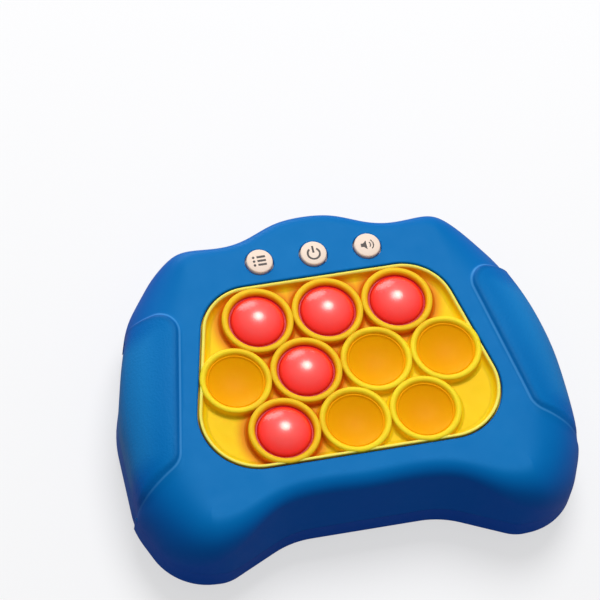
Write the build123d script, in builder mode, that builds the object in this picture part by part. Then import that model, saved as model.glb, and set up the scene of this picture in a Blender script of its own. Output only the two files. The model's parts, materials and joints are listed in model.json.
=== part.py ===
"""Hand-held electronic bubble pop game: a casing of two shells around a mat of ten pop bubbles.

Millimetres. The origin is on the floor under the middle of the casing, +X points right, +Y to the
edge with the three buttons, and +Z out of the face with the bubbles.
"""

from build123d import *
from math import atan, cos, degrees, pi, radians, sin, sqrt, tan
import os

os.makedirs("parts", exist_ok=True)

# Casing
casing_width = 172.0
casing_length = 133.6
face_height = 39.0
parting_height = 18.0
wall = 2.6
edge_roll = 4.5
side_roll = 20.0
side_roll_depth = 19.5
side_bands = 4
liner_bands = 2
side_margin = 0.15
lower_lean = 6.5
foot_chamfer_height = 9.0
foot_chamfer_width = 6.0
overrun = 1.0
cut_reach = 20.0
small_sides = 8

# Corners of the right half of the widest outline, from the middle of the button edge round to the
# near edge: shares of the half width and of the half length, and how much of the shorter side
# beside the corner its arc takes
outline_shares = (
    (0.0, 1.046, 0.54),
    (0.343, 0.870, 0.214),
    (0.657, 0.901, 0.366),
    (0.852, 0.579, 0.198),
    (1.0, -0.022, 0.19),
    (1.0, -0.60, 0.26),
    (0.872, -0.988, 0.72),
    (0.640, -1.006, 0.186),
    (0.334, -0.822, 0.268),
)

# Corners that the sides' roll follows and the one where the near edge bends, counted from 0, and the
# ends of the lines that both are cut along: shares of the half width and of the half length
first_side_corner = 3
last_side_corner = 6
near_corner = 8
side_far_share = (0.56, 1.258)
side_near_share = (0.08, -1.19)
near_end_share = (1.163, -1.321)

# Grip zones
grip_top = 33.0
grip_top_half = 55.5
grip_foot = 29.0
grip_foot_half = 68.0
grip_outer_half = 98.0
grip_outer_foot = 47.0
grip_corner = 8.0
grip_depth = 1.3

# Window and mat
window_top = 38.7
window_foot = 37.3
window_top_half = 45.0
window_foot_half = 64.0
window_top_corner = 20.0
window_foot_corner = 22.0
mat_gap = 0.5
mat_lip = 1.5
mat_lip_rise = 0.3
mat_floor = 1.6
mat_flange = 1.8

# Bubbles and their rings
bubble_pitch = 27.0
bubble_radius = 10.5
bubble_rise = 4.6
bubble_skin = 1.0
bubble_sides = 16
bubble_shares = (1.0, 0.86, 0.62, 0.28)
bubble_liner_shares = (1.0, 0.72, 0.28)
rim_depth = 0.4
ring_radius = 13.4
ring_gap = 0.4
ring_crest = 0.6
ring_edge = 1.0
ring_sides = 16
ring_bevel = 45.0

# Function buttons
button_pitch = 21.0
button_line = 47.6
button_radius = 5.05
button_sides = 24
button_gap = 0.5
button_proud = 1.2
button_key = 11.6
button_key_thickness = 1.2
button_key_gap = 0.3
button_post = 2.4

# Push switches with square plungers
switch_body = 6.0
switch_height = 3.4
switch_travel = 0.6
plunger = 2.4
plunger_rise = 1.6
plunger_seat = 1.0
plunger_gap = 0.1
plunger_stop = 0.2

# Light caps and the grid that guides them
cap_sides = 6
cap_turn = 30.0
cap_flat = 7.0
cap_gap = 0.3
cap_wall = 1.2
cap_shoulder = 2.9
cap_tip = 2.0
cap_flange = 1.4
cap_flange_thickness = 1.2
press_gap = 0.6
grid_wall = 1.6
grid_floor = 2.0
grid_inset = 0.3
leg_width = 4.0
leg_places = ((40.0, -26.0), (27.0, 36.0))

# Circuit board
board_height = 16.0
board_thickness = 1.6
board_half = 50.0
board_top = 40.0
board_foot = 33.0
board_tab_half = 28.0
board_tab_top = 53.0
led_length = 3.2
led_width = 2.8
led_height = 1.4
led_reach = 5.6
chip_length = 10.0
chip_width = 6.0
chip_height = 1.8
chip_line = 36.5

# Case screws, up from wells in the rear shell into bosses in the front shell
screw_places = ((43.0, 49.0), (60.0, -43.0))
screw_head = 2.7
screw_head_thickness = 2.0
screw_shank = 1.25
screw_length = 12.0
screw_clearance = 0.05
screw_head_clearance = 0.5
well_depth = 8.0
well_floor = 2.0
well_wall = 1.6
boss_radius = 3.6

# Cells, their bay and the battery door
cell_count = 3
cell_radius = 5.25
cell_sides = 18
cell_length = 43.7
cell_nipple = 1.9
cell_nipple_length = 0.8
cell_gap = 0.3
bay_line = -14.0
bay_play = 2.2
bay_wall = 1.5
contact_thickness = 0.5
contact_width = 7.0
contact_height = 8.0
contact_tail = 2.0
contact_bump = 3.0
contact_gap = 0.1
door_thickness = 1.8
door_recess = 0.4
door_gap = 0.3
door_margin = 3.0
door_ear = 9.0
door_ear_width = 12.0
door_bar = 1.2
door_bar_length = 16.0
door_bar_height = 0.3
door_bars = 4
door_screw_head = 1.2
door_screw_length = 8.0

# Loudspeaker and the slots under it
speaker_line = 30.0
speaker_length = 30.0
speaker_width = 20.0
speaker_height = 4.0
speaker_rim = 1.5
cone_thickness = 0.6
magnet_length = 14.0
magnet_width = 10.0
magnet_height = 3.0
speaker_tail = 2.0
slot_count = 5
slot_width = 1.8
slot_pitch = 3.6
slot_length = 20.0

# Heights and places that follow
half_width = casing_width / 2
half_length = casing_length / 2
front_height = face_height - parting_height
mat_top = face_height - wall
mat_underside = mat_top - mat_floor
rim_height = face_height - rim_depth
bubble_sphere = (bubble_radius**2 + bubble_rise**2) / (2 * bubble_rise)
ring_bore = bubble_radius + ring_gap
row_pitch = bubble_pitch * cos(pi / cap_sides)
board_surface = board_height + board_thickness
switch_top = board_surface + switch_height
plunger_top = switch_top + plunger_rise
cap_floor = plunger_top + plunger_stop
cap_flange_top = cap_floor + cap_flange_thickness
grid_underside = cap_flange_top + cap_gap
grid_top = grid_underside + grid_floor
pressed_crown = rim_height - bubble_rise
cap_top = pressed_crown - press_gap + switch_travel
well_seat = well_depth + well_floor
door_top = door_recess + door_thickness
bay_length = cell_length + cell_nipple_length + 2 * bay_play
bay_width = cell_count * 2 * cell_radius + (cell_count + 1) * cell_gap
cell_height = door_top + cell_gap + cell_radius
bay_ceiling = cell_height + cell_radius + cell_gap
cell_pitch = 2 * cell_radius + cell_gap
cell_lines = [bay_line + step * cell_pitch for step in (-1, 0, 1)]
tail_places = [(side * (bay_length - contact_thickness) / 2, cell_lines[1 + side]) for side in (1, -1)]
door_width = bay_length + 2 * door_margin
door_depth = bay_width + 2 * door_margin
ear_line = bay_line - door_depth / 2 - door_ear / 2
speaker_foot = wall

# Ten bubbles in rows of three, four and three, from the top left: the listed ones start pressed in
bubble_places = [
    ((column - (count - 1) / 2) * bubble_pitch, row * row_pitch)
    for row, count in ((1, 3), (0, 4), (-1, 3))
    for column in range(count)
]
pressed_bubbles = (4, 6, 7, 9, 10)
button_names = ("menu", "power", "volume")
button_places = [(step * button_pitch, button_line) for step in (-1, 0, 1)]


def write(piece, name):
    """Labels a finished piece and writes it."""
    piece.label = name
    export_step(piece, f"parts/{name}.step")


def both_sides(places):
    """The same places on the right and on the left."""
    return [(side * x, y) for side in (1, -1) for x, y in places]


def drawn_in(ring, margin):
    """Corners of a clockwise outline moved inward by a margin, with radii that keep arcs concentric."""
    moved = []
    for i, (x, y, radius) in enumerate(ring):
        here, before, after = Vector(x, y), Vector(*ring[i - 1][:2]), Vector(*ring[(i + 1) % len(ring)][:2])
        first, second = (here - before).normalized(), (after - here).normalized()
        inward, next_inward = Vector(first.Y, -first.X), Vector(second.Y, -second.X)
        corner = here + (inward + next_inward) * (margin / (1 + inward.dot(next_inward)))
        hollow = first.cross(second).Z > 0
        concentric = max(0, radius + margin if hollow else radius - margin)
        moved.append((corner.X, corner.Y, concentric if radius else 0))
    return moved


def rounded_face(ring, height, margin=0.0):
    """A face inside a clockwise outline of corners with radii, drawn in by a margin."""
    corners = drawn_in(ring, margin)
    with BuildSketch(Plane.XY.offset(height)) as face:
        with BuildLine():
            FilletPolyline(*[(x, y) for x, y, r in corners], radius=[r for x, y, r in corners], close=True)
        make_face()
    return face.sketch


def both_halves(right):
    """The closed outline, clockwise, whose right half has these corners."""
    return right + [(-x, y, last) for x, y, last in reversed(right) if x > 0]


def with_radii(ring):
    """An outline whose corners get radii, so that each arc takes its share of the shorter side."""
    rounded = []
    for i, (x, y, share) in enumerate(ring):
        here, before, after = Vector(x, y), Vector(*ring[i - 1][:2]), Vector(*ring[(i + 1) % len(ring)][:2])
        first, second = here - before, after - here
        turn = radians(first.get_angle(second))
        rounded.append((x, y, share * min(first.length, second.length) / tan(turn / 2)))
    return rounded


# The casing's outline, and the lines that its sides and near edge are cut along
casing_half = [(x * half_width, y * half_length, arc) for x, y, arc in outline_shares]
casing_ring = with_radii(both_halves(casing_half))
side_corners = casing_ring[first_side_corner:last_side_corner + 1]
side_far, side_near, near_end = [
    (x * half_width, y * half_length) for x, y in (side_far_share, side_near_share, near_end_share)
]


def window_face(height, grow=0.0):
    """The rounded trapezoid of the window at a height, grown all round."""
    ring = (
        (-window_top_half, window_top, window_top_corner),
        (window_top_half, window_top, window_top_corner),
        (window_foot_half, -window_foot, window_foot_corner),
        (-window_foot_half, -window_foot, window_foot_corner),
    )
    return rounded_face(ring, height, -grow)


def upright_form(margin, drop):
    """The casing's front part with straight walls, drawn in by a margin and lowered by a drop."""
    with BuildPart() as form:
        add(rounded_face(casing_ring, parting_height, margin))
        extrude(amount=front_height - drop)
    return form.part


def edge_cut(corners, radii, profile):
    """The cutter outside a profile that runs clockwise along an edge, through corners with radii."""
    with BuildLine() as path:
        FilletPolyline(*corners, radius=radii)
    along = path.line % 0
    outward = Vector(-along.Y, along.X)
    foot, top = profile @ 0, profile @ 1
    roof = front_height + overrun
    with BuildPart() as cut:
        with BuildSketch(Plane(path.line @ 0 + Vector(0, 0, parting_height), x_dir=outward, z_dir=along)):
            with BuildLine():
                add(profile)
                Polyline(top, (top.X, roof), (cut_reach, roof), (cut_reach, foot.Y), foot)
            make_face()
        sweep(path=path.line)
    return cut.part


def side_cut(margin, drop, bands):
    """The cutter that rolls both sides over in narrow bands, drawn in by a margin and a drop."""
    edge = side_margin - margin
    bends = []
    for step in range(bands + 1):
        turn = pi / 2 * step / bands
        height = front_height - side_roll_depth + (side_roll_depth - drop) * sin(turn)
        bends.append((edge - (side_roll - margin) * (1 - cos(turn)), height))
    with BuildLine() as profile:
        Polyline((edge, -parting_height - overrun), *bends)
    places = [side_far, *[(x, y) for x, y, radius in side_corners], side_near]
    with BuildPart() as cut:
        add(edge_cut(places, [radius for x, y, radius in side_corners], profile.line))
        mirror(about=Plane.YZ)
    return cut.part


def near_cut(margin, roll):
    """The cutter that leans the near wall back and rolls its top edge, drawn in by a margin."""
    lean = atan(lower_lean / front_height)
    height = front_height - margin
    top = -lower_lean * height / front_height - margin
    tangent = roll * (1 - sin(lean)) / cos(lean)
    with BuildLine() as profile:
        below = Line((-margin, -overrun), (-margin, 0))
        if roll:
            low = (top + tangent * sin(lean), height - tangent * cos(lean))
            leaning = Line(below @ 1, low)
            TangentArc(low, (top - tangent, height), tangent=leaning % 1)
        else:
            Line(below @ 1, (top, height))
    x, y, radius = casing_ring[near_corner]
    end_x, end_y = near_end
    places = ((end_x, end_y), (x, y), (-x, y), (-end_x, end_y))
    return edge_cut(places, (radius, radius), profile.line)


def grip_zones():
    """Prisms over the two side zones that are sunk for the hands."""
    corners = (
        (grip_top_half, grip_top),
        (grip_foot_half, -grip_foot),
        (grip_outer_half, -grip_outer_foot),
        (grip_outer_half, grip_top),
    )
    radii = (grip_corner, grip_corner, 0, 0)
    with BuildPart() as zones:
        with BuildSketch(Plane.XY.offset(-overrun)):
            with BuildLine():
                FilletPolyline(*corners, radius=radii, close=True)
            make_face()
            mirror(about=Plane.YZ)
        extrude(amount=face_height + 2 * overrun)
    return zones.part


# What sinks the grip zones of both shells
with BuildPart() as grip_cut:
    add(side_cut(grip_depth, grip_depth, side_bands))
    with BuildSketch(Plane.XY.offset(face_height - grip_depth)):
        Rectangle(casing_width, casing_length)
    extrude(amount=grip_depth + overrun)
    add(grip_zones(), mode=Mode.INTERSECT)

# Front shell: outer form, grip zones sunk into it, hollow, window, button holes and screw bosses
with BuildPart() as upright:
    add(upright_form(0, 0))
    fillet(upright.faces().sort_by(Axis.Z)[-1].edges(), edge_roll)
with BuildPart() as liner:
    add(upright_form(wall, wall))
    add(side_cut(wall + grip_depth, wall, liner_bands), mode=Mode.SUBTRACT)
    add(near_cut(wall, 0), mode=Mode.SUBTRACT)
with BuildPart() as front_shell:
    add(upright.part)
    add(side_cut(0, 0, side_bands), mode=Mode.SUBTRACT)
    add(near_cut(0, edge_roll), mode=Mode.SUBTRACT)
    add(grip_cut.part, mode=Mode.SUBTRACT)
    add(liner.part, mode=Mode.SUBTRACT)
    add(window_face(mat_top - overrun))
    extrude(amount=wall + 2 * overrun, mode=Mode.SUBTRACT)
    with BuildSketch(Plane.XY.offset(mat_top - overrun)):
        with Locations(*button_places):
            Circle(button_radius + button_gap)
    extrude(amount=wall + 2 * overrun, mode=Mode.SUBTRACT)
    with BuildSketch(Plane.XY.offset(well_seat)):
        with Locations(*both_sides(screw_places)):
            RegularPolygon(boss_radius, small_sides)
    extrude(amount=mat_top - well_seat)
    with BuildSketch(Plane.XY.offset(well_seat)):
        with Locations(*both_sides(screw_places)):
            RegularPolygon(screw_shank + screw_clearance, small_sides, major_radius=False)
    extrude(amount=screw_length, mode=Mode.SUBTRACT)
write(front_shell.part, "front_shell")

# Rear shell: outer form, hollow, battery bay, screw wells, board posts, door seat and sound slots
with BuildPart() as rear_liner:
    add(rounded_face(casing_ring, parting_height, wall))
    extrude(amount=foot_chamfer_height - parting_height)
    add(rounded_face(casing_ring, parting_height, wall + foot_chamfer_width))
    extrude(amount=wall - parting_height)
with BuildPart() as rear_shell:
    add(rounded_face(casing_ring, parting_height))
    extrude(amount=-parting_height)
    bottom = rear_shell.faces().sort_by(Axis.Z)[0]
    chamfer(bottom.edges(), foot_chamfer_width, foot_chamfer_height, reference=bottom)
    add(grip_cut.part, mode=Mode.SUBTRACT)
    add(rear_liner.part, mode=Mode.SUBTRACT)
    with BuildSketch():
        with Locations((0, bay_line)):
            Rectangle(door_width + 2 * bay_wall, door_depth + 2 * bay_wall)
        with Locations((0, ear_line)):
            Rectangle(door_ear_width + 2 * bay_wall, door_ear + 2 * bay_wall)
    extrude(amount=door_top + bay_wall)
    with BuildSketch():
        with Locations((0, bay_line)):
            Rectangle(bay_length + 2 * bay_wall, bay_width + 2 * bay_wall)
    extrude(amount=bay_ceiling + bay_wall)
    with BuildSketch():
        with Locations((0, ear_line)):
            RegularPolygon(boss_radius, small_sides)
    extrude(amount=door_top + door_screw_length)
    with BuildSketch():
        with Locations(*both_sides(screw_places)):
            RegularPolygon(screw_head + screw_head_clearance + well_wall, small_sides)
    extrude(amount=well_seat)
    with BuildSketch(Plane.XY.offset(wall)):
        with Locations(*both_sides(leg_places)):
            Rectangle(leg_width, leg_width)
    extrude(amount=board_height - wall)
    with BuildSketch(Plane.XY.offset(-overrun)):
        with Locations((0, bay_line)):
            Rectangle(door_width + 2 * door_gap, door_depth + 2 * door_gap)
        with Locations((0, ear_line)):
            Rectangle(door_ear_width + 2 * door_gap, door_ear + 2 * door_gap)
    extrude(amount=door_top + overrun, mode=Mode.SUBTRACT)
    with BuildSketch(Plane.XY.offset(-overrun)):
        with Locations((0, bay_line)):
            Rectangle(bay_length, bay_width)
    extrude(amount=bay_ceiling + overrun, mode=Mode.SUBTRACT)
    with BuildSketch(Plane.XY.offset(-overrun)):
        with Locations((0, speaker_line)):
            with GridLocations(0, slot_pitch, 1, slot_count):
                Rectangle(slot_length, slot_width)
    extrude(amount=wall + 2 * overrun, mode=Mode.SUBTRACT)
    with BuildSketch(Plane.XY.offset(-overrun)):
        with Locations(*both_sides(screw_places)):
            RegularPolygon(screw_head + screw_head_clearance, small_sides)
    extrude(amount=well_depth + overrun, mode=Mode.SUBTRACT)
    with BuildSketch(Plane.XY.offset(-overrun)):
        with Locations(*both_sides(screw_places), (0, ear_line)):
            RegularPolygon(screw_shank + screw_clearance, small_sides, major_radius=False)
    extrude(amount=well_seat + 2 * overrun, mode=Mode.SUBTRACT)
    with BuildSketch(Plane.XY.offset(bay_ceiling - overrun)):
        with Locations(*tail_places):
            Rectangle(contact_thickness + 2 * contact_gap, contact_tail + 2 * contact_gap)
    extrude(amount=bay_wall + 2 * overrun, mode=Mode.SUBTRACT)
write(rear_shell.part, "rear_shell")

# Bubble mat: floor clamped under the window's edge, lip round the window, and ten rings
with BuildPart() as bubble_mat:
    add(window_face(mat_underside, mat_flange))
    extrude(amount=mat_floor)
    add(window_face(mat_top, -mat_gap))
    extrude(amount=wall + mat_lip_rise)
    add(window_face(mat_top, -mat_gap - mat_lip))
    extrude(amount=wall + mat_lip_rise, mode=Mode.SUBTRACT)
    with BuildSketch(Plane.XY.offset(mat_top)):
        with Locations(*bubble_places):
            RegularPolygon(ring_radius, ring_sides)
    extrude(amount=wall + ring_crest - ring_edge)
    with BuildSketch(Plane.XY.offset(face_height + ring_crest - ring_edge)):
        with Locations(*bubble_places):
            RegularPolygon(ring_radius, ring_sides)
    extrude(amount=ring_edge, taper=ring_bevel)
    with BuildSketch(Plane.XY.offset(mat_underside)):
        with Locations(*bubble_places):
            RegularPolygon(ring_bore, ring_sides)
    extrude(amount=face_height + ring_crest - mat_underside, mode=Mode.SUBTRACT)
write(bubble_mat.part, "bubble_mat")


def dome(centre, skin, shares):
    """A dome on the rim plane, inside the skin: flat-sided bands that follow the bubble's sphere."""
    sphere = bubble_sphere - skin
    middle = bubble_sphere - bubble_rise
    foot = sqrt(sphere**2 - middle**2)
    with BuildPart() as form:
        for low, high in zip(shares, shares[1:]):
            start = sqrt(sphere**2 - (low * foot) ** 2) - middle
            rise = sqrt(sphere**2 - (high * foot) ** 2) - middle - start
            slope = atan((low - high) * foot * cos(pi / bubble_sides) / rise)
            with BuildSketch(Plane((*centre, rim_height + start))) as foot_face:
                RegularPolygon(low * foot, bubble_sides)
            add(foot_face.sketch)
            extrude(amount=rise, taper=degrees(slope))
    return form.part


# Bubbles: thin domes that stand up, or dishes where they are pressed in
for number, centre in enumerate(bubble_places, 1):
    with BuildPart() as raised_bubble:
        add(dome(centre, 0, bubble_shares))
        add(dome(centre, bubble_skin, bubble_liner_shares), mode=Mode.SUBTRACT)
    with BuildPart() as pressed_bubble:
        mirror(raised_bubble.part, about=Plane.XY.offset(rim_height))
    bubble = pressed_bubble if number in pressed_bubbles else raised_bubble
    write(bubble.part, f"bubble_{number}")

# Light caps: hollow six-sided plungers with a flange under the grid and a post on the switch
cap_slope = degrees(atan((cap_flat - cap_tip) / cap_shoulder))
for number, centre in enumerate(bubble_places, 1):
    drop = switch_travel if number in pressed_bubbles else 0
    shoulder = cap_top - cap_shoulder
    with BuildPart() as light_cap:
        with BuildSketch(Plane((*centre, cap_floor - drop))):
            RegularPolygon(cap_flat + cap_flange, cap_sides, major_radius=False, rotation=cap_turn)
        extrude(amount=cap_flange_thickness)
        with BuildSketch(Plane((*centre, cap_floor - drop))):
            RegularPolygon(cap_flat, cap_sides, major_radius=False, rotation=cap_turn)
        extrude(amount=shoulder - cap_floor)
        with BuildSketch(Plane((*centre, shoulder - drop))):
            RegularPolygon(cap_flat, cap_sides, major_radius=False, rotation=cap_turn)
        extrude(amount=cap_shoulder, taper=cap_slope)
        with BuildSketch(Plane((*centre, cap_floor - drop))):
            RegularPolygon(cap_flat - cap_wall, cap_sides, major_radius=False, rotation=cap_turn)
        extrude(amount=shoulder - cap_wall - cap_floor, mode=Mode.SUBTRACT)
        with BuildSketch(Plane((*centre, plunger_top - drop))):
            Rectangle(plunger, plunger)
        extrude(amount=shoulder - plunger_top)
    write(light_cap.part, f"light_cap_{number}")

# Light grid: a six-sided cell round each bubble, with a floor that the light caps pass through
with BuildPart() as light_grid:
    add(window_face(grid_underside, mat_flange - grid_inset))
    extrude(amount=mat_underside - grid_underside)
    with BuildSketch(Plane.XY.offset(grid_top)):
        with Locations(*bubble_places):
            RegularPolygon((bubble_pitch - grid_wall) / 2, cap_sides, major_radius=False, rotation=cap_turn)
    extrude(amount=mat_underside - grid_top, mode=Mode.SUBTRACT)
    with BuildSketch(Plane.XY.offset(grid_underside)):
        with Locations(*bubble_places):
            RegularPolygon(cap_flat + cap_gap, cap_sides, major_radius=False, rotation=cap_turn)
    extrude(amount=grid_floor, mode=Mode.SUBTRACT)
    with BuildSketch(Plane.XY.offset(board_surface)):
        with Locations(*both_sides(leg_places)):
            Rectangle(leg_width, leg_width)
    extrude(amount=grid_underside - board_surface)
write(light_grid.part, "light_grid")

# Circuit board with a tab under the function buttons, and what it carries
with BuildPart() as circuit_board:
    with BuildSketch(Plane.XY.offset(board_height)):
        with Locations((0, (board_top - board_foot) / 2)):
            Rectangle(2 * board_half, board_top + board_foot)
        with Locations((0, (board_top + board_tab_top) / 2)):
            Rectangle(2 * board_tab_half, board_tab_top - board_top)
    extrude(amount=board_thickness)
write(circuit_board.part, "circuit_board")

with BuildPart() as switch_bodies:
    with BuildSketch(Plane.XY.offset(board_surface)):
        with Locations(*bubble_places, *button_places):
            Rectangle(switch_body, switch_body)
    extrude(amount=switch_height)
    with BuildSketch(Plane.XY.offset(switch_top)):
        with Locations(*bubble_places, *button_places):
            Rectangle(plunger + 2 * plunger_gap, plunger + 2 * plunger_gap)
    extrude(amount=-plunger_seat - switch_travel - plunger_stop, mode=Mode.SUBTRACT)
write(switch_bodies.part, "switch_bodies")

with BuildPart() as leds:
    with BuildSketch(Plane.XY.offset(board_surface)):
        with Locations(*[(x, y + led_reach) for x, y in bubble_places]):
            Rectangle(led_length, led_width)
    extrude(amount=led_height)
write(leds.part, "leds")

with BuildPart() as controller_chip:
    with BuildSketch(Plane.XY.offset(board_surface)):
        with Locations((0, chip_line)):
            Rectangle(chip_length, chip_width)
    extrude(amount=chip_height)
write(controller_chip.part, "controller_chip")


def write_plunger(centre, drop, name):
    """A switch plunger, from inside its switch up to the post that presses it."""
    with BuildPart() as stem:
        with BuildSketch(Plane((*centre, switch_top - plunger_seat - drop))):
            Rectangle(plunger, plunger)
        extrude(amount=plunger_rise + plunger_seat)
    write(stem.part, name)


for number, centre in enumerate(bubble_places, 1):
    drop = switch_travel if number in pressed_bubbles else 0
    write_plunger(centre, drop, f"bubble_plunger_{number}")

# Function buttons: round caps on square keys, with posts down to their switches
for name, centre in zip(button_names, button_places):
    write_plunger(centre, 0, f"{name}_plunger")
    key_top = mat_top - button_key_gap
    with BuildPart() as button:
        with BuildSketch(Plane((*centre, key_top))):
            RegularPolygon(button_radius, button_sides)
        extrude(amount=face_height + button_proud - key_top)
        with BuildSketch(Plane((*centre, key_top))):
            Rectangle(button_key, button_key)
        extrude(amount=-button_key_thickness)
        with BuildSketch(Plane((*centre, plunger_top))):
            Rectangle(button_post, button_post)
        extrude(amount=key_top - button_key_thickness - plunger_top)
    write(button.part, f"{name}_button")

# Case screws
with BuildPart() as case_screws:
    with BuildSketch(Plane.XY.offset(well_depth)):
        with Locations(*both_sides(screw_places)):
            RegularPolygon(screw_head, small_sides)
    extrude(amount=-screw_head_thickness)
    with BuildSketch(Plane.XY.offset(well_depth)):
        with Locations(*both_sides(screw_places)):
            RegularPolygon(screw_shank, small_sides)
    extrude(amount=screw_length)
write(case_screws.part, "case_screws")

# Cells side by side, every other one turned round
with BuildPart() as cells:
    for line, turn in zip(cell_lines, (1, -1, 1)):
        start = -turn * (cell_length + cell_nipple_length) / 2
        with BuildSketch(Plane((start, line, cell_height), x_dir=(0, 1, 0), z_dir=(turn, 0, 0))):
            RegularPolygon(cell_radius, cell_sides)
        extrude(amount=cell_length)
        with BuildSketch(Plane((start, line, cell_height), x_dir=(0, 1, 0), z_dir=(turn, 0, 0))):
            RegularPolygon(cell_nipple, small_sides)
        extrude(amount=cell_length + cell_nipple_length)
write(cells.part, "cells")

# Contact strips at both ends of the bay: bumps on each cell, and a tail up to the board at each end
with BuildPart() as battery_contacts:
    for side, groups in ((1, ((0, 1), (2,))), (-1, ((1, 2), (0,)))):
        strip_place = side * (bay_length - contact_thickness) / 2
        bump_place = side * (bay_length / 2 - (bay_play - contact_gap) / 2)
        with BuildSketch(Plane.XY.offset(cell_height - contact_height / 2)):
            for group in groups:
                spread = cell_lines[group[-1]] - cell_lines[group[0]]
                with Locations((strip_place, cell_lines[group[0]] + spread / 2)):
                    Rectangle(contact_thickness, contact_width + spread)
        extrude(amount=contact_height)
        with BuildSketch(Plane.XY.offset(cell_height - contact_bump / 2)):
            with Locations(*[(bump_place, line) for line in cell_lines]):
                Rectangle(bay_play - contact_gap, contact_bump)
        extrude(amount=contact_bump)
    with BuildSketch(Plane.XY.offset(cell_height)):
        with Locations(*tail_places):
            Rectangle(contact_thickness, contact_tail)
    extrude(amount=board_height - cell_height)
write(battery_contacts.part, "battery_contacts")

# Battery door, flush in its seat, with finger bars and an ear that its screw holds
with BuildPart() as battery_door:
    with BuildSketch(Plane.XY.offset(door_recess)):
        with Locations((0, bay_line)):
            Rectangle(door_width, door_depth)
        with Locations((0, ear_line)):
            Rectangle(door_ear_width, door_ear)
    extrude(amount=door_thickness)
    with BuildSketch(Plane.XY.offset(door_recess)):
        with Locations((0, bay_line + door_depth / 2 - 2 * door_bars * door_bar)):
            with GridLocations(0, 2 * door_bar, 1, door_bars):
                Rectangle(door_bar_length, door_bar)
    extrude(amount=-door_bar_height)
    with BuildSketch(Plane.XY.offset(door_recess)):
        with Locations((0, ear_line)):
            RegularPolygon(screw_head + screw_clearance, small_sides)
    extrude(amount=door_screw_head, mode=Mode.SUBTRACT)
    with BuildSketch(Plane.XY.offset(door_recess)):
        with Locations((0, ear_line)):
            RegularPolygon(screw_shank + screw_clearance, small_sides, major_radius=False)
    extrude(amount=door_thickness, mode=Mode.SUBTRACT)
write(battery_door.part, "battery_door")

with BuildPart() as door_screw:
    with BuildSketch(Plane.XY.offset(door_recess)):
        with Locations((0, ear_line)):
            RegularPolygon(screw_head, small_sides)
    extrude(amount=door_screw_head)
    with BuildSketch(Plane.XY.offset(door_recess + door_screw_head)):
        with Locations((0, ear_line)):
            RegularPolygon(screw_shank, small_sides)
    extrude(amount=door_screw_length)
write(door_screw.part, "door_screw")

# Loudspeaker, face down over the slots, with contact strips up to the board
speaker = Plane((0, speaker_line, speaker_foot))
opening_length = speaker_length - 2 * speaker_rim
opening_width = speaker_width - 2 * speaker_rim
with BuildPart() as speaker_frame:
    with BuildSketch(speaker):
        Rectangle(speaker_length, speaker_width)
    extrude(amount=speaker_height)
    with BuildSketch(speaker):
        Rectangle(opening_length, opening_width)
    extrude(amount=speaker_height - speaker_rim, mode=Mode.SUBTRACT)
write(speaker_frame.part, "speaker_frame")

with BuildPart() as speaker_cone:
    with BuildSketch(speaker.offset(speaker_rim)):
        Rectangle(opening_length, opening_width)
    extrude(amount=cone_thickness)
    with BuildSketch(speaker.offset(speaker_rim)):
        Rectangle(magnet_length, magnet_width)
    extrude(amount=speaker_height - 2 * speaker_rim)
write(speaker_cone.part, "speaker_cone")

with BuildPart() as speaker_magnet:
    with BuildSketch(speaker.offset(speaker_height)):
        Rectangle(magnet_length, magnet_width)
    extrude(amount=magnet_height)
write(speaker_magnet.part, "speaker_magnet")

with BuildPart() as speaker_contacts:
    with BuildSketch(speaker.offset(speaker_height)):
        with GridLocations(speaker_length - speaker_tail - 2 * speaker_rim, 0, 2, 1):
            Rectangle(contact_thickness, speaker_tail)
    extrude(amount=board_height - speaker_foot - speaker_height)
write(speaker_contacts.part, "speaker_contacts")
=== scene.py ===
"""Looks for the hand-held bubble pop game: a blue pillow casing, a yellow mat and its lit bubbles.

Shapes are written in millimetres in the CAD part's frame, and turned into metres as each mesh is made.
"""

import bmesh
import bpy
import json
import math
import numpy as np
from mathutils import Matrix, Vector


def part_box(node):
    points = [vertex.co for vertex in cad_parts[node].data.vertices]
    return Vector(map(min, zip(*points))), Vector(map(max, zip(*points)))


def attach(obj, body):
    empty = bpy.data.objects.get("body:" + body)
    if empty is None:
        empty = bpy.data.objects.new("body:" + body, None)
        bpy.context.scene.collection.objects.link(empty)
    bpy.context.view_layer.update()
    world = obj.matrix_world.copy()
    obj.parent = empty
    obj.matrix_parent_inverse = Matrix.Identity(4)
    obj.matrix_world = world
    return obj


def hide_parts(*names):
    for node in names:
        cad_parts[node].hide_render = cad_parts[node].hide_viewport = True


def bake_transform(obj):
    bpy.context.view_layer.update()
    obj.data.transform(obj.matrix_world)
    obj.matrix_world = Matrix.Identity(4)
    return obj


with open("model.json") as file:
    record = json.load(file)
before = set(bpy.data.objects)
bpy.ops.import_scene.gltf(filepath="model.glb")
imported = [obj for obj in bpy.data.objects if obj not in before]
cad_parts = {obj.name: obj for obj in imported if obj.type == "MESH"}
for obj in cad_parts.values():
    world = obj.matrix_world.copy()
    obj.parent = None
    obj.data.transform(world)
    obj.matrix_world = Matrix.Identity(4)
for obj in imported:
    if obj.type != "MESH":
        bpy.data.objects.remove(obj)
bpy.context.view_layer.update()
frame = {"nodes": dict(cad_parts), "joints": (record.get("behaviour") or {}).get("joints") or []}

MM = 0.001


def box_mm(node):
    """A node's lowest and highest corners in millimetres."""
    low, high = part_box(node)
    return low / MM, high / MM


def middle_mm(node):
    """The middle of a node in plan, in millimetres."""
    low, high = box_mm(node)
    return (low.x + high.x) / 2, (low.y + high.y) / 2


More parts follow.
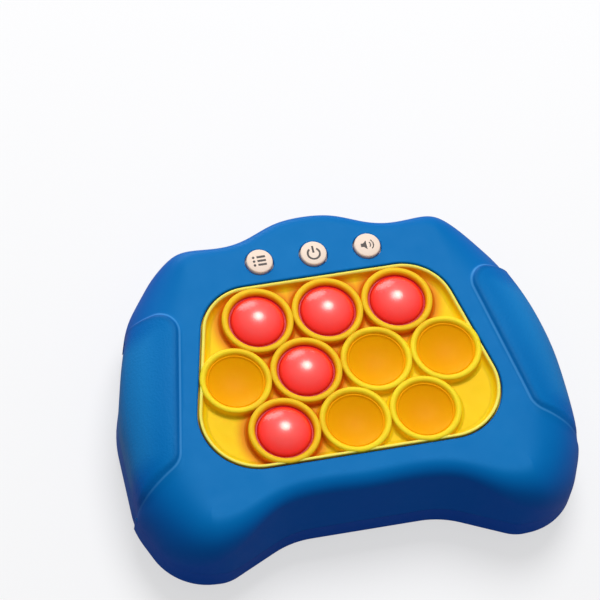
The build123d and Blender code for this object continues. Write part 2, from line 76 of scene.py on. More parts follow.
# Heights and places from the frame. The bubbles that are lit stand up, so they are the ones that can go in
face = box_mm("front_shell")[1].z
parting = box_mm("rear_shell")[1].z
mat_foot, crest = box_mm("bubble_mat")[0].z, box_mm("bubble_mat")[1].z
buttons = {name: middle_mm(f"{name}_button") for name in ("menu", "power", "volume")}
button_top = box_mm("menu_button")[1].z
numbers = range(1, 11)
bubbles = {number: middle_mm(f"bubble_{number}") for number in numbers}
travel_of = {joint["child"]: joint["range_m"] for joint in frame["joints"]}
lit = [number for number in numbers if travel_of[f"bubble_{number}"][0] < 0]
pressed = [number for number in numbers if number not in lit]
rim, raised_crown = (corner.z for corner in box_mm(f"bubble_{lit[0]}"))

# Casing: points of the right half of its outline, from the button edge round to the near edge, each
# with the width and depth of the roll along its top edge and with how far its wall leans
half_outline = (
    (0, 66.6, 5, 5, 0.5),
    (12, 65.1, 5, 5, 0.5),
    (23, 60.7, 5, 5, 0.5),
    (33, 58.6, 5, 5, 0.5),
    (43, 59.4, 6, 6, 0.5),
    (51.5, 59.4, 9, 9, 0.5),
    (59.5, 54.3, 13, 13, 0.5),
    (66.8, 46.0, 17, 16, 0.5),
    (74.0, 35.0, 19, 18, 0.5),
    (80.8, 18.5, 20, 19, 0.5),
    (84.8, -1, 20, 20, 0.5),
    (85.8, -22, 20, 20, 0.5),
    (84.2, -41, 20, 20, 0.5),
    (77.0, -57.0, 18, 20, 0.5),
    (67.5, -65.3, 14, 17, 1.5),
    (58.0, -66.4, 10, 12, 3),
    (47.5, -63.6, 7, 8, 4.5),
    (37.5, -58.9, 5, 5, 6),
    (28.0, -55.6, 4.5, 4.5, 6.5),
    (14.5, -54.7, 4.5, 4.5, 6.5),
    (0, -55.2, 4.5, 4.5, 6.5),
)
wall = 2.6
rim_round = 0.7
rim_angles = (22, 45, 68, 90)
overlap = 0.05

# How finely the casing is meshed, and how full its roll is
points_around = 960
wall_rows = 8
roll_rows = 66
face_rows = 30
roll_power = 2.6
roll_reach = 1.2

# How far below the face the casing starts to follow the rear shell's edge, and over how many points
# to each side that is evened out
settle_depth = 6.0
settle_span = 2

# Grip zones, sunk into both sides, and where their step gets softer: towards the near corners
grip_corners = ((55.5, 33.0), (98.0, 33.0), (98.0, -47.0), (68.0, -29.0))
grip_round = 8.0
grip_depth = 1.3
grip_edge = 2.4
grip_soft = 6.0
soft_near = -26.0
soft_side = 86.0
soft_run = 8.0
outside_grips = 2.6

# Window, the mat's lip, floor and rings
window_corners = ((-45.0, 38.7, 20.0), (45.0, 38.7, 20.0), (64.0, -37.3, 22.0), (-64.0, -37.3, 22.0))
mat_top = face - wall
lip_gap = 0.5
lip_width = 1.1
lip_crest = face + 0.3
lip_foot = 2.4
lip_highlight_band = 0.3
floor_inset = 1.2
flange = 1.8
mat_sharp = 40
ring_bore = 10.9
ring_crest_width = 2.7
ring_foot = 1.4

# Bubbles
bubble_radius = 10.4
bubble_skin = 1.0
dome_foot = rim - 0.3
dish_foot = rim - 0.5
dish_crown = box_mm(f"bubble_{pressed[0]}")[0].z + bubble_skin

# Function buttons
button_radius = 5.05
button_hole = 5.55
button_edge = 0.55
key_top = mat_top - 0.3
key_foot = mat_top - 1.5
post_half = 1.2
icon_height = 0.05


def smoothstep(value):
    """0 up to 0, 1 from 1 on, and a smooth rise between."""
    share = np.clip(value, 0, 1)
    return share * share * (3 - 2 * share)


def linear(red, green, blue):
    """A colour given in 0 to 255 steps, as the linear colour that shaders take."""
    values = []
    for step in (red, green, blue):
        share = step / 255
        values.append(share / 12.92 if share <= 0.04045 else ((share + 0.055) / 1.055) ** 2.4)
    return (*values, 1.0)


def grey(level):
    """A grey of this level, as shader nodes take it."""
    return level, level, level, 1.0


def piece(name, vertices, faces, body, material, sharp=35):
    """A mesh piece from vertices in millimetres, smooth up to a sharp angle, riding on a body."""
    mesh = bpy.data.meshes.new(name)
    mesh.from_pydata([tuple(co * MM for co in v) for v in vertices], [], faces)
    mesh.polygons.foreach_set("use_smooth", [True] * len(mesh.polygons))
    mesh.set_sharp_from_angle(angle=math.radians(sharp))
    mesh.materials.append(material)
    item = bpy.data.objects.new(name, mesh)
    bpy.context.scene.collection.objects.link(item)
    if body:
        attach(item, body)
    return item


def grid_faces(rows, columns, start, loop):
    """Faces between rows of points that close round, and with loop from the last row to the first."""
    faces = []
    for row in range(rows if loop else rows - 1):
        above = (row + 1) % rows
        for column in range(columns):
            nearby = (column + 1) % columns
            faces.append((
                start + row * columns + column,
                start + row * columns + nearby,
                start + above * columns + nearby,
                start + above * columns + column,
            ))
    return faces


class Form:
    """Vertices and faces that several shapes are added to."""

    def __init__(self):
        self.vertices = []
        self.faces = []

    def sweep(self, rows, loop=False):
        """Adds rows of points, joined row to row, and with loop the last row to the first."""
        start = len(self.vertices)
        for row in rows:
            self.vertices.extend(tuple(point) for point in row)
        self.faces.extend(grid_faces(len(rows), len(rows[0]), start, loop))

    def lathe(self, centre, profile, segments=96, capped=False):
        """Adds a profile of radii and heights turned about an upright axis, closed at its end if capped."""
        angles = [2 * math.pi * i / segments for i in range(segments)]
        x, y = centre
        rows = [[(x + r * math.cos(a), y + r * math.sin(a), z) for a in angles] for r, z in profile]
        start = len(self.vertices)
        self.sweep(rows)
        if capped:
            last = start + (len(rows) - 1) * segments
            self.faces.append(tuple(last + i for i in range(segments)))

    def plate(self, outline, low, high):
        """Adds a flat plate over an outline in plan."""
        start, count = len(self.vertices), len(outline)
        self.vertices.extend((x, y, low) for x, y in outline)
        self.vertices.extend((x, y, high) for x, y in outline)
        self.faces.append(tuple(start + i for i in reversed(range(count))))
        self.faces.append(tuple(start + count + i for i in range(count)))
        for i in range(count):
            j = (i + 1) % count
            self.faces.append((start + i, start + j, start + count + j, start + count + i))


def box_outline(centre, half_x, half_y):
    """The four corners of a rectangle in plan."""
    x, y = centre
    signs = ((-1, -1), (1, -1), (1, 1), (-1, 1))
    return [(x + along * half_x, y + across * half_y) for along, across in signs]


def arc_points(centre, radius, start, end, count):
    """Points on an arc in plan, between two angles in degrees."""
    x, y = centre
    angles = [math.radians(start + (end - start) * i / (count - 1)) for i in range(count)]
    return [(x + radius * math.cos(a), y + radius * math.sin(a)) for a in angles]


def circle_points(centre, radius, count=72):
    """Points evenly round a circle in plan."""
    return arc_points(centre, radius, 0, 360 - 360 / count, count)


def curve_slopes(knots):
    """Slopes at the knots of the smoothest closed curve through them."""
    unit = np.eye(len(knots))
    system = 4 * unit + np.roll(unit, 1, 0) + np.roll(unit, -1, 0)
    return np.linalg.solve(system, 3 * (np.roll(knots, -1, 0) - np.roll(knots, 1, 0)))


def curve_at(knots, places):
    """Points of the closed curve through knots, at places counted in knots."""
    slopes = curve_slopes(knots)
    span = np.floor(places).astype(int)
    t = (places - span)[:, None]
    first, second = span % len(knots), (span + 1) % len(knots)
    return (
        (1 + 2 * t) * (1 - t) ** 2 * knots[first]
        + t * (1 - t) ** 2 * slopes[first]
        + t**2 * (3 - 2 * t) * knots[second]
        + t**2 * (t - 1) * slopes[second]
    )


def even_places(knots, count, samples=40):
    """Places along the closed curve through knots that are evenly far apart."""
    dense = np.linspace(0, len(knots), samples * len(knots))
    steps = np.linalg.norm(np.diff(curve_at(knots, dense)[:, :2], axis=0), axis=1)
    along = np.concatenate(([0], np.cumsum(steps)))
    return np.interp(np.linspace(0, along[-1], count, endpoint=False), along, dense)


def polar_radius(points, angles):
    """Radii at angles of a closed outline round the origin, given by points on it."""
    points = np.array(points)
    known = np.arctan2(points[:, 1], points[:, 0])
    order = np.argsort(known)
    radii = np.hypot(points[:, 0], points[:, 1])[order]
    known = known[order]
    turn = 2 * math.pi
    return np.interp(angles, np.concatenate((known - turn, known, known + turn)), np.tile(radii, 3))


def parting_points(step=0.5, margin=0.01):
    """Points along the outer edge of the rear shell's top, where the two shells meet."""
    mesh = frame["nodes"]["rear_shell"].data
    found = []
    for polygon in mesh.polygons:
        if abs(polygon.normal.z) > 0.5 or polygon.normal.dot(polygon.center) < 0:
            continue
        top = [mesh.vertices[i].co / MM for i in polygon.vertices]
        top = [co for co in top if co.z > parting - margin]
        for a, b in zip(top, top[1:]):
            steps = max(1, int((b - a).length / step))
            found.extend(tuple(a.lerp(b, i / steps).xy) for i in range(steps + 1))
    return found


def rounded_outline(corners, step=0.6):
    """Points and outward normals along an outline of corners with radii, given clockwise."""
    points, normals = [], []
    count = len(corners)
    for i in range(count):
        here, radius = Vector(corners[i][:2]), corners[i][2]
        before, after = Vector(corners[i - 1][:2]), Vector(corners[(i + 1) % count][:2])
        first, second = (here - before).normalized(), (after - here).normalized()
        turn = first.angle(second)
        reach = radius * math.tan(turn / 2)
        start = here - first * reach
        outward = Vector((-first.y, first.x))
        centre = start - outward * radius
        steps = max(2, int(radius * turn / step))
        for j in range(steps + 1):
            angle = -turn * j / steps
            c, s = math.cos(angle), math.sin(angle)
            normal = Vector((outward.x * c - outward.y * s, outward.x * s + outward.y * c))
            points.append(centre + normal * radius)
            normals.append(normal)
        next_turn = second.angle((Vector(corners[(i + 2) % count][:2]) - after).normalized())
        run_end = after - second * (corners[(i + 1) % count][2] * math.tan(next_turn / 2))
        run_start = here + second * reach
        steps = max(1, int((run_end - run_start).length / step))
        for j in range(1, steps):
            points.append(run_start.lerp(run_end, j / steps))
            normals.append(Vector((-second.y, second.x)))
    return points, normals


window_points, window_normals = rounded_outline(window_corners)


def window_row(inset, height):
    """A row of points along the window's outline, drawn in by an inset, at a height."""
    rows = []
    for point, normal in zip(window_points, window_normals):
        place = point - normal * inset
        rows.append((place.x, place.y, height))
    return rows


def polygon_distance(points, corners):
    """Signed distances in plan from points to a polygon, negative inside it."""
    best = np.full(len(points), np.inf)
    inside = np.zeros(len(points), bool)
    for a, b in zip(corners, np.roll(corners, -1, 0)):
        edge, offset = b - a, points - a
        share = np.clip(offset @ edge / (edge @ edge), 0, 1)
        best = np.minimum(best, np.linalg.norm(offset - share[:, None] * edge, axis=1))
        if a[1] != b[1]:
            crossing = a[0] + (points[:, 1] - a[1]) * edge[0] / edge[1]
            inside ^= ((a[1] > points[:, 1]) != (b[1] > points[:, 1])) & (points[:, 0] < crossing)
    return np.where(inside, -best, best)


def grip_reach(points):
    """How far each point of the casing is outside a grip zone, and how far it is sunk, from 0 to 1."""
    corners = np.array(grip_corners)
    centre = corners.mean(0)
    inner = []
    for i, here in enumerate(corners):
        before, after = corners[i - 1], corners[(i + 1) % len(corners)]
        first, second = (here - before), (after - here)
        first, second = first / np.linalg.norm(first), second / np.linalg.norm(second)
        left, right = np.array((first[1], -first[0])), np.array((second[1], -second[0]))
        if left @ (centre - here) < 0:
            left, right = -left, -right
        inner.append(here + (left + right) * grip_round / (1 + left @ right))
    plan = np.column_stack((np.abs(points[:, 0]), points[:, 1]))
    distance = polygon_distance(plan, np.array(inner)) - grip_round
    soft = smoothstep((soft_near - plan[:, 1]) / soft_run) * smoothstep((soft_side - plan[:, 0]) / soft_run)
    return distance, smoothstep(0.5 - distance / (grip_edge + grip_soft * soft))


def casing_rows():
    """Rows of points from the front shell's foot over its roll to the window, and their grip distances."""
    right = np.array(half_outline, float)
    left = right[-2:0:-1] * (-1, 1, 1, 1, 1)
    knots = np.vstack((right, left))
    plan, width, depth, lean = knots[:, :2], knots[:, 2], knots[:, 3], knots[:, 4]
    slopes = curve_slopes(plan)
    outward = np.column_stack((-slopes[:, 1], slopes[:, 0]))
    outward /= np.linalg.norm(outward, axis=1)[:, None]
    places = even_places(plan, points_around)
    height = face - parting

    def row(inset, drop):
        """One row, drawn in and dropped below the face by an amount at each knot."""
        return curve_at(np.column_stack((plan - outward * inset[:, None], face - drop)), places)

    rows = []
    for share in np.linspace(0, 1, wall_rows, endpoint=False):
        drop = height - share * (height - depth)
        rows.append(row(lean * (1 - drop / height), drop))
    for angle in np.linspace(0, math.pi / 2, roll_rows):
        drop = depth * (1 - math.sin(angle))
        inset = roll_reach * width * (1 - math.cos(angle) ** (2 / roll_power))
        rows.append(row(lean * (1 - drop / height) + inset, drop))
    brow = rows[-1]
    angles = np.arctan2(brow[:, 1], brow[:, 0])
    around = np.column_stack((np.cos(angles), np.sin(angles)))
    edge = polar_radius([tuple(p) for p in window_points], angles)

    def window_edge(grow, z):
        """A row round the window at a height."""
        return np.column_stack((around * (edge + grow)[:, None], np.full(len(edge), z)))

    for share in np.linspace(0, 1, face_rows + 1)[1:]:
        rows.append(brow + (window_edge(rim_round, face) - brow) * share)
    skin, distance = sink_grips(np.array(rows))
    meet_rear_shell(skin)
    rows = list(skin)
    for angle in np.radians(rim_angles):
        rows.append(window_edge(rim_round * (1 - math.sin(angle)), face - rim_round * (1 - math.cos(angle))))
    rows.append(window_edge(0, mat_top + overlap))
    inner_brow = brow.copy()
    inner_brow[:, 2] = mat_top + overlap
    rows.append(inner_brow)
    inner_foot = rows[0].copy()
    inner_foot[:, :2] *= 1 - wall / np.hypot(inner_foot[:, 0], inner_foot[:, 1])[:, None]
    rows.append(inner_foot)
    inner = np.full((len(rows) - len(distance), points_around), outside_grips)
    return rows, np.vstack((distance, inner))


def sink_grips(points):
    """Moves the rows' points in where the grip zones are, and gives how far outside one each is."""
    along = np.roll(points, -1, 1) - np.roll(points, 1, 1)
    across = np.gradient(points, axis=0)
    normal = np.cross(along, across)
    normal /= np.maximum(np.linalg.norm(normal, axis=2), 1e-9)[:, :, None]
    distance, share = (values.reshape(points.shape[:2]) for values in grip_reach(points.reshape(-1, 3)))
    return points - normal * (share * grip_depth)[:, :, None], distance


def meet_rear_shell(points):
    """Draws the lower rows to the rear shell's edge, little by little, so that the shells lie flush."""
    foot = points[0]
    real = polar_radius(parting_points(), np.arctan2(foot[:, 1], foot[:, 0]))
    pull = real / np.hypot(foot[:, 0], foot[:, 1]) - 1
    ring = np.concatenate((pull[-settle_span:], pull, pull[:settle_span]))
    pull = np.convolve(ring, np.full(2 * settle_span + 1, 1 / (2 * settle_span + 1)), "valid")
    start = face - settle_depth
    share = smoothstep((start - points[:, :, 2]) / (start - parting))
    points[:, :, :2] *= 1 + (pull * share)[:, :, None]


def make_casing(material):
    """The front shell: pillow form, sunk grips, window, and holes for the three buttons."""
    rows, distance = casing_rows()
    form = Form()
    form.sweep(rows, loop=True)
    shell = piece("front_casing", form.vertices, form.faces, None, material)
    grip = shell.data.attributes.new("grip_distance", "FLOAT", "POINT")
    grip.data.foreach_set("value", distance.reshape(-1).astype(np.float32))
    cutter = Form()
    for centre in buttons.values():
        cutter.plate(circle_points(centre, button_hole), mat_top - wall, face + wall)
    tool = piece("button_cutter", cutter.vertices, cutter.faces, None, material)
    cut = shell.modifiers.new("button_holes", "BOOLEAN")
    cut.operation, cut.solver, cut.object = "DIFFERENCE", "EXACT", tool
    with bpy.context.temp_override(object=shell, active_object=shell):
        bpy.ops.object.modifier_apply(modifier=cut.name)
    bpy.data.objects.remove(tool)
    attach(shell, "casing")
    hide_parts("front_shell")


def floor_plate():
    """The mat's floor as a flat form with a hole under each bubble."""
    curve = bpy.data.curves.new("mat_floor", "CURVE")
    curve.dimensions, curve.fill_mode, curve.extrude = "2D", "BOTH", (mat_top - mat_foot) / 2 * MM
    outlines = [window_row(lip_gap + lip_width + floor_inset, 0)]
    outlines += [circle_points(centre, ring_bore + overlap) for centre in bubbles.values()]
    for outline in outlines:
        spline = curve.splines.new("POLY")
        spline.points.add(len(outline) - 1)
        for point, co in zip(spline.points, outline):
            point.co = (co[0] * MM, co[1] * MM, 0, 1)
        spline.use_cyclic_u = True
    holder = bpy.data.objects.new("mat_floor", curve)
    mesh = bpy.data.meshes.new_from_object(holder)
    mesh.transform(Matrix.Translation((0, 0, (mat_top + mat_foot) / 2 * MM)))
    bpy.data.objects.remove(holder)
    return mesh


def make_mat(material):
    """The silicone mat: floor, raised lip along the window, and a ring round each bubble."""
    form = Form()
    inner = lip_gap + lip_width
    profile = (
        (inner + lip_foot, mat_foot),
        (-flange, mat_foot),
        (-flange, mat_top),
        (lip_gap, mat_top),
        (lip_gap, lip_crest - 0.5),
        (lip_gap + 0.15, lip_crest - 0.15),
        (lip_gap + 0.5, lip_crest),
        (lip_gap + lip_width - 0.4, lip_crest),
        (lip_gap + lip_width, lip_crest - 0.25),
        (inner + 0.25, lip_crest - 0.8),
        (inner + 0.6, mat_top + 1.0),
        (inner + 1.1, mat_top + 0.4),
        (inner + 1.7, mat_top + 0.1),
        (inner + lip_foot, mat_top),
    )
    form.sweep([window_row(inset, z) for inset, z in profile], loop=True)
    middle = ring_bore + ring_crest_width / 2
    outer = ring_bore + ring_crest_width
    for centre in bubbles.values():
        form.lathe(centre, (
            (ring_bore, mat_foot),
            (ring_bore, crest - 1.5),
            (ring_bore + 0.12, crest - 1.05),
            (ring_bore + 0.4, crest - 0.6),
            (ring_bore + 0.75, crest - 0.22),
            (ring_bore + 1.1, crest - 0.05),
            (middle + 0.15, crest),
            (outer - 0.6, crest - 0.05),
            (outer - 0.25, crest - 0.22),
            (outer - 0.05, crest - 0.55),
            (outer, crest - 1.1),
            (outer + 0.08, mat_top + 0.9),
            (outer + 0.3, mat_top + 0.4),
            (outer + 0.75, mat_top + 0.1),
            (outer + ring_foot, mat_top - 0.02),
        ), segments=128)
    mat = piece("silicone_mat", form.vertices, form.faces, None, material)
    joined = bmesh.new()
    joined.from_mesh(mat.data)
    plate = floor_plate()
    joined.from_mesh(plate)
    joined.to_mesh(mat.data)
    joined.free()
    bpy.data.meshes.remove(plate)
    mat.data.polygons.foreach_set("use_smooth", [True] * len(mat.data.polygons))
    mat.data.set_sharp_from_angle(angle=math.radians(mat_sharp))
    lip_points = len(profile) * len(window_points)
    heights = [vertex.co.z / MM for vertex in mat.data.vertices]
    # The lip's crest band, which is given a painted highlight.
    values = [float(i < lip_points and z > lip_crest - lip_highlight_band) for i, z in enumerate(heights)]
    mat.data.attributes.new("lip", "FLOAT", "POINT").data.foreach_set("value", values)
    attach(mat, "casing")
    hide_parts("bubble_mat")


def cap_profile(foot, crown, radius, steps=22, smallest=0.02):
    """Radii and heights over a round cap, from its foot to just beside its middle."""
    rise = abs(crown - foot)
    sphere = (radius**2 + rise**2) / (2 * rise)
    side = 1 if crown > foot else -1
    profile = []
    for i in range(steps + 1):
        r = radius * (1 - i / steps)
        z = foot + side * (math.sqrt(sphere**2 - r**2) - (sphere - rise))
        profile.append((max(r, smallest), z))
    return profile


# Webs from each ring to a dome and to a dish, as radii and heights
dome_web = (
    (ring_bore + 0.1, dome_foot - 0.2),
    (ring_bore - 0.15, dome_foot - 0.55),
    (bubble_radius - 0.1, dome_foot - 0.5),
)
dish_web = (
    (ring_bore + 0.1, rim - 0.45),
    (ring_bore - 0.1, rim - 0.15),
    (ring_bore - 0.3, rim - 0.02),
    (ring_bore - 0.45, rim - 0.02),
    (ring_bore - 0.6, rim - 0.2),
)


def make_bubble(number, material):
    """A bubble that stands up, or a dish where it is pressed in, with the thin web to its ring."""
    raised = number in lit
    foot, crown, web = (dome_foot, raised_crown, dome_web) if raised else (dish_foot, dish_crown, dish_web)
    form = Form()
    form.lathe(bubbles[number], (*web, *cap_profile(foot, crown, bubble_radius - 0.2)), capped=True)
    shell = piece(f"bubble_skin_{number}", form.vertices, form.faces, None, material, sharp=60)
    x, y = bubbles[number]
    share = [math.hypot(v[0] - x, v[1] - y) / bubble_radius for v in form.vertices]
    shell.data.attributes.new("rim_share", "FLOAT", "POINT").data.foreach_set("value", share)
    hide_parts(f"bubble_{number}")
    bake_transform(shell)


def list_icon(centre):
    """Three dots with a bar beside each."""
    x, y = centre
    outlines = []
    for row in (-1, 0, 1):
        outlines.append(circle_points((x - 2.15, y + 1.65 * row), 0.5, 24))
        outlines.append(box_outline((x + 0.8, y + 1.65 * row), 1.65, 0.43))
    return outlines


def stroke(inner, outer):
    """One outline from an inner and an outer run of points."""
    return [*outer, *reversed(inner)]


def power_icon(centre):
    """An open ring with a bar in its gap."""
    x, y = centre
    place = (x, y - 0.3)
    ring = stroke(arc_points(place, 1.95, 125, 415, 49), arc_points(place, 2.7, 125, 415, 49))
    return [ring, box_outline((x, y + 1.5), 0.38, 1.45)]


def sound_icon(centre):
    """A loudspeaker with two waves."""
    x, y = centre
    horn = [(-2.5, -0.75), (-1.5, -0.75), (-0.3, -1.9), (-0.3, 1.9), (-1.5, 0.75), (-2.5, 0.75)]
    outlines = [[(x + dx, y + dy) for dx, dy in horn]]
    for radius in (1.15, 2.25):
        inner, outer = (arc_points((x - 0.1, y), edge, -48, 48, 17) for edge in (radius, radius + 0.42))
        outlines.append(stroke(inner, outer))
    return outlines


icons = {"menu": list_icon, "power": power_icon, "volume": sound_icon}


def make_button(name, cap_material, ink):
    """A function button: round cap on a square key with a post, and its icon."""
    centre = buttons[name]
    low, high = box_mm(f"{name}_button")
    half = (high.x - low.x) / 2
    form = Form()
    form.lathe(centre, (
        (button_radius, key_top),
        (button_radius, button_top - button_edge),
        (button_radius - 0.07, button_top - 0.28),
        (button_radius - 0.24, button_top - 0.1),
        (button_radius - button_edge, button_top),
    ), capped=True)
    form.plate(box_outline(centre, half, half), key_foot, key_top)
    form.plate(box_outline(centre, post_half, post_half), low.z, key_foot)
    cap = piece(f"{name}_cap", form.vertices, form.faces, f"{name}_button", cap_material)
    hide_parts(f"{name}_button")
    print_form = Form()
    for outline in icons[name](centre):
        print_form.plate(outline, button_top - icon_height, button_top + icon_height)
    mark = piece(f"{name}_icon", print_form.vertices, print_form.faces, f"{name}_button", ink)


class Look:
    """Shader nodes of one material, built up step by step."""

    def __init__(self, name, colour, roughness):
        self.material = bpy.data.materials.new(name)
        self.material.use_nodes = True
        self.tree = self.material.node_tree
        self.surface = self.tree.nodes["Principled BSDF"]
        self.surface.inputs["Base Color"].default_value = colour
        self.surface.inputs["Roughness"].default_value = roughness
        self.place = self.tree.nodes.new("ShaderNodeTexCoord").outputs["Object"]
        self.base = None
        self.normal = None

    def node(self, kind, **values):
        """A new node with settings, and with inputs set by name."""
        made = self.tree.nodes.new(kind)
        for key, value in values.items():
            if hasattr(made, key):
                setattr(made, key, value)
            else:
                made.inputs[key.replace("_", " ")].default_value = value
        return made

    def link(self, source, target):
        """Links a node's output to an input."""
        self.tree.links.new(source, target)

    def noise(self, size, detail=3.0):
        """Noise whose patches are about this many millimetres across."""
        made = self.node("ShaderNodeTexNoise", Scale=1 / (size * MM), Detail=detail)
        self.link(self.place, made.inputs["Vector"])
        return made.outputs["Fac"]

    def between(self, value, low, high, start=0.0, end=1.0, kind="LINEAR"):
        """A number that runs from low to high as a value runs from start to end."""
        made = self.node(
            "ShaderNodeMapRange", interpolation_type=kind,
            From_Min=start, From_Max=end, To_Min=low, To_Max=high,
        )
        self.link(value, made.inputs["Value"])
        return made.outputs["Result"]

    def mix(self, share, first, second):
        """A colour mixed from two, each a colour or a socket."""
        made = self.node("ShaderNodeMix", data_type="RGBA")
        self.link(share, made.inputs["Factor"])
        sockets = {socket.name: socket for socket in made.inputs if socket.type == "RGBA"}
        for name, value in (("A", first), ("B", second)):
            if isinstance(value, tuple):
                sockets[name].default_value = value
            else:
                self.link(value, sockets[name])
        return next(socket for socket in made.outputs if socket.type == "RGBA")

    def ramp(self, share, steps, interpolation="LINEAR"):
        """A colour that runs through steps, each a place from 0 to 1 and a colour."""
        made = self.node("ShaderNodeValToRGB")
        made.color_ramp.interpolation = interpolation
        stops = made.color_ramp.elements
        while len(stops) < len(steps):
            stops.new(0.5)
        for stop, (place, colour) in zip(stops, steps):
            stop.position, stop.color = place, colour
        self.link(share, made.inputs["Fac"])
        return made.outputs["Color"]

    def maths(self, operation, first, second):
        """The outcome of an operation on a socket and a second socket or number."""
        made = self.node("ShaderNodeMath", operation=operation)
        self.link(first, made.inputs[0])
        if isinstance(second, float):
            made.inputs[1].default_value = second
        else:
            self.link(second, made.inputs[1])
        return made.outputs[0]

    def times(self, first, second):
        """The product of two numbers."""
        return self.maths("MULTIPLY", first, second)

    def along(self, vector, axis):
        """A vector's part along one axis."""
        made = self.node("ShaderNodeSeparateXYZ")
        self.link(vector, made.inputs[0])
        return made.outputs[axis]

    def colour(self, socket):
        """Sets the colour of the surface."""
        self.base = socket
        self.link(socket, self.surface.inputs["Base Color"])

    def glow(self, socket, strength):
        """Light of its own in a colour."""
        self.link(socket, self.surface.inputs["Emission Color"])
        self.set(Emission_Strength=strength)

    def vary_gloss(self, size, low, high):
        """Roughness between two values, in patches about this many millimetres across."""
        self.link(self.between(self.noise(size), low, high), self.surface.inputs["Roughness"])

    def bump(self, share, height, round_edges=0.0):
        """Bumps of this height in millimetres over what is there, and rounded edges under the first."""
        made = self.node("ShaderNodeBump", Strength=1.0, Distance=height * MM)
        self.link(share, made.inputs["Height"])
        if self.normal is not None:
            self.link(self.normal, made.inputs["Normal"])
        elif round_edges:
            bevel = self.node("ShaderNodeBevel", samples=6, Radius=round_edges * MM)
            self.link(bevel.outputs["Normal"], made.inputs["Normal"])
        self.normal = made.outputs["Normal"]
        self.link(self.normal, self.surface.inputs["Normal"])

    def attribute(self, name):
        """A value stored with the mesh."""
        return self.node("ShaderNodeAttribute", attribute_name=name).outputs["Fac"]

    def set(self, **values):
        """Sets the surface's own values by name."""
        for key, value in values.items():
            self.surface.inputs[key.replace("_", " ")].default_value = value


def moulded(name, light, dark, roughness, grain, size, coat=0.0, edges=0.25):
    """Moulded plastic: grain of a height and size, slow mottling of two close colours, and gloss made uneven
    by wear.
    """
    look = Look(name, light, roughness)
    look.colour(look.mix(look.noise(30.0, 4.0), dark, light))
    look.vary_gloss(6.0, roughness - 0.06, roughness + 0.08)
    look.bump(look.noise(size, 2.0), grain, edges)
    look.set(Coat_Weight=coat, Coat_Roughness=0.25)
    return look


def casing_look():
    """Blue satin plastic, finely grained and more so in the grip zones, with painted shade that turns steep
    walls deeper blue, a painted highlight over the grip zones, and a painted highlight line with painted
    shadow along their step.
    """
    look = moulded("casing_plastic", casing_light, casing_dark, 0.46, 0.010, 0.5, edges=0.5)
    look.set(Specular_IOR_Level=0.22, Specular_Tint=casing_shine)
    upward = look.along(look.node("ShaderNodeNewGeometry").outputs["Normal"], "Z")
    # Painted shade: the less a face points up, the more it turns to the deeper wall blue.
    wall_shaded = look.mix(look.between(upward, 1.0, 0.0), look.base, casing_wall_shade)
    distance = look.attribute("grip_distance")
    # Painted highlight: the grip zone turns paler a little way inside its edge.
    grip_highlighted = look.mix(look.between(distance, 0.0, grip_highlight_share, *grip_highlight_band, "SMOOTHSTEP"), wall_shaded, casing_grip_highlight)
    band = look.between(distance, 0.0, 1.0, *grip_band)
    fade = look.between(look.along(look.place, "Y"), *fade_shares, *fade_places)
    # Painted highlight: a pale line on the top edge of the grip step, and painted shadow just inside it,
    # both fading towards the near end.
    shadow, edge_highlight = (look.times(look.ramp(band, steps, "EASE"), fade) for steps in (shadow_steps, edge_highlight_steps))
    look.colour(look.mix(edge_highlight, look.mix(shadow, grip_highlighted, casing_shade), casing_edge_highlight))
    inside = look.maths("LESS_THAN", distance, 0.0)
    look.bump(look.times(look.noise(grip_grain_size, 2.0), inside), grip_grain)
    return look.material


def silicone_look(name, light, dark, shine, roughness=0.42):
    """Silicone rubber: soft shine, light that spreads inside, and a faint powdery unevenness."""
    look = Look(name, light, roughness)
    look.colour(look.mix(look.noise(14.0), dark, light))
    look.vary_gloss(4.0, roughness - 0.08, roughness + 0.08)
    look.bump(look.noise(0.6, 2.0), 0.006)
    look.set(Subsurface_Weight=0.25, Subsurface_Scale=1.2 * MM, Subsurface_Radius=(1.0, 0.5, 0.15))
    look.set(Specular_IOR_Level=0.3, Specular_Tint=shine)
    return look


def mat_look():
    """The mat's yellow silicone: painted highlights on the lip and ring crests, and a painted glow from the
    lit bubbles lower down.
    """
    look = silicone_look("mat_silicone", mat_light, mat_dark, mat_shine)
    glow = None
    # Painted glow: orange light from the lit bubbles, painted on the mat around each of them.
    for number in lit:
        x, y = bubbles[number]
        away = look.node("ShaderNodeVectorMath", operation="DISTANCE")
        away.inputs[1].default_value = (x * MM, y * MM, mat_top * MM)
        look.link(look.place, away.inputs[0])
        share = look.between(away.outputs["Value"], 1.0, 0.0, glow_near * MM, glow_far * MM, "SMOOTHSTEP")
        glow = share if glow is None else look.maths("MAXIMUM", glow, share)
    height = look.along(look.place, "Z")
    # Painted highlight: the ring crests turn paler.
    top = look.between(height, 0.0, 1.0, (crest - 0.7) * MM, (crest - 0.1) * MM, "SMOOTHSTEP")
    low = look.between(height, 1.0, glow_crest, (mat_top + 0.3) * MM, (crest - 0.2) * MM)
    glowing = look.mix(look.times(glow, low), look.mix(top, look.base, crest_highlight), glow_colour)
    # Painted highlight on the lip's crest.
    look.colour(look.mix(look.attribute("lip"), glowing, lip_highlight))
    return look.material


def lit_bubble_look():
    """Red silicone lit from below, with painted light: emission and a pale hot spot in the middle stand in
    for the LED under it, and painted shade makes the rim deep red.
    """
    look = silicone_look("lit_silicone", lit_red, lit_rim_shade, lit_shine, 0.34)
    share = look.attribute("rim_share")
    look.colour(look.ramp(share, lit_steps))
    # Painted light: the bubble glows in its own colours, though no lamp is inside it.
    look.glow(look.base, lit_glow)
    look.link(look.between(share, *coat_weights, *coat_shares), look.surface.inputs["Coat Weight"])
    look.set(Coat_IOR=1.6, Coat_Roughness=0.25)
    return look.material


